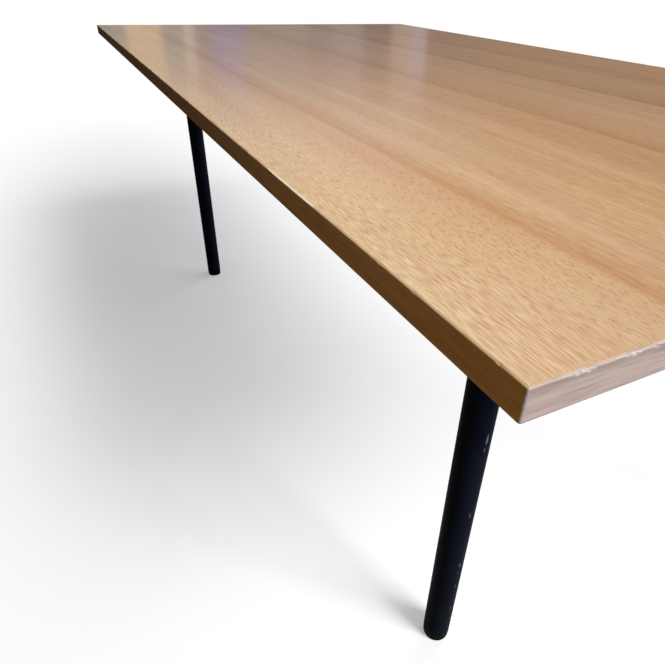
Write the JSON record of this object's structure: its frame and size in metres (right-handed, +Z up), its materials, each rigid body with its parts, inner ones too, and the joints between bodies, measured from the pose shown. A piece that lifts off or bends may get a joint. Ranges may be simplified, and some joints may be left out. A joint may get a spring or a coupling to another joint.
{
  "type": "table",
  "caption": "Rectangular office or meeting table: beech-veneered top with banded edges on round black screw-on steel legs with levelling feet.",
  "frame": {"origin": "on the floor under the middle of the top", "axes": "+X along the length, to the right seen from the front; +Y from the front edge to the rear edge; +Z up"},
  "size_m": [1.8, 1, 0.7206],
  "materials": {
    "beech_veneer": "satin lacquer",
    "beech_edge": "satin lacquer, worn edges",
    "beech_backing": "plain, unlacquered",
    "particleboard": "raw pressed chips",
    "black_steel": "satin black paint",
    "zinc_steel": "zinc plated",
    "raw_steel": "raw, oiled",
    "black_plastic": "matt moulded"
  },
  "bodies": {
    "table": {"edge_band_front": "beech_edge", "edge_band_rear": "beech_edge", "edge_band_left": "beech_edge", "edge_band_right": "beech_edge", "top_veneer": "beech_veneer", "core_board": "particleboard", "backing_veneer": "beech_backing", "leg_plate_screws": "zinc_steel", "leg_plate_front_left": "black_steel", "leg_stud_front_left": "zinc_steel", "leg_nut_plate_front_left": "raw_steel", "leg_tube_front_left": "black_steel", "leg_plug_front_left": "black_plastic", "leg_plate_front_right": "black_steel", "leg_stud_front_right": "zinc_steel", "leg_nut_plate_front_right": "raw_steel", "leg_tube_front_right": "black_steel", "leg_plug_front_right": "black_plastic", "leg_plate_rear_left": "black_steel", "leg_stud_rear_left": "zinc_steel", "leg_nut_plate_rear_left": "raw_steel", "leg_tube_rear_left": "black_steel", "leg_plug_rear_left": "black_plastic", "leg_plate_rear_right": "black_steel", "leg_stud_rear_right": "zinc_steel", "leg_nut_plate_rear_right": "raw_steel", "leg_tube_rear_right": "black_steel", "leg_plug_rear_right": "black_plastic"},
    "front_left_spindle": {"foot_spindle_front_left": "zinc_steel"},
    "front_left_foot": {"foot_front_left": "black_plastic"},
    "front_right_spindle": {"foot_spindle_front_right": "zinc_steel"},
    "front_right_foot": {"foot_front_right": "black_plastic"},
    "rear_left_spindle": {"foot_spindle_rear_left": "zinc_steel"},
    "rear_left_foot": {"foot_rear_left": "black_plastic"},
    "rear_right_spindle": {"foot_spindle_rear_right": "zinc_steel"},
    "rear_right_foot": {"foot_rear_right": "black_plastic"}
  },
  "joints": [
    {"name": "front_left_foot_extend", "type": "slide", "parent": "table", "child": "front_left_spindle", "axis": [0, 0, -1], "range_m": [0, 0.01]},
    {"name": "front_left_foot_turn", "type": "hinge", "parent": "front_left_spindle", "child": "front_left_foot", "pos_m": [-0.68, -0.308, 0.005], "axis": [0, 0, -1], "range_deg": [0, 2400]},
    {"name": "front_right_foot_extend", "type": "slide", "parent": "table", "child": "front_right_spindle", "axis": [0, 0, -1], "range_m": [0, 0.01]},
    {"name": "front_right_foot_turn", "type": "hinge", "parent": "front_right_spindle", "child": "front_right_foot", "pos_m": [0.68, -0.308, 0.005], "axis": [0, 0, -1], "range_deg": [0, 2400]},
    {"name": "rear_left_foot_extend", "type": "slide", "parent": "table", "child": "rear_left_spindle", "axis": [0, 0, -1], "range_m": [0, 0.01]},
    {"name": "rear_left_foot_turn", "type": "hinge", "parent": "rear_left_spindle", "child": "rear_left_foot", "pos_m": [-0.68, 0.308, 0.005], "axis": [0, 0, -1], "range_deg": [0, 2400]},
    {"name": "rear_right_foot_extend", "type": "slide", "parent": "table", "child": "rear_right_spindle", "axis": [0, 0, -1], "range_m": [0, 0.01]},
    {"name": "rear_right_foot_turn", "type": "hinge", "parent": "rear_right_spindle", "child": "rear_right_foot", "pos_m": [0.68, 0.308, 0.005], "axis": [0, 0, -1], "range_deg": [0, 2400]}
  ],
  "couplings": [
    {"joint": "front_left_foot_turn", "follows": "front_left_foot_extend", "rad_per_m": 4188.8},
    {"joint": "front_right_foot_turn", "follows": "front_right_foot_extend", "rad_per_m": 4188.8},
    {"joint": "rear_left_foot_turn", "follows": "rear_left_foot_extend", "rad_per_m": 4188.8},
    {"joint": "rear_right_foot_turn", "follows": "rear_right_foot_extend", "rad_per_m": 4188.8}
  ]
}
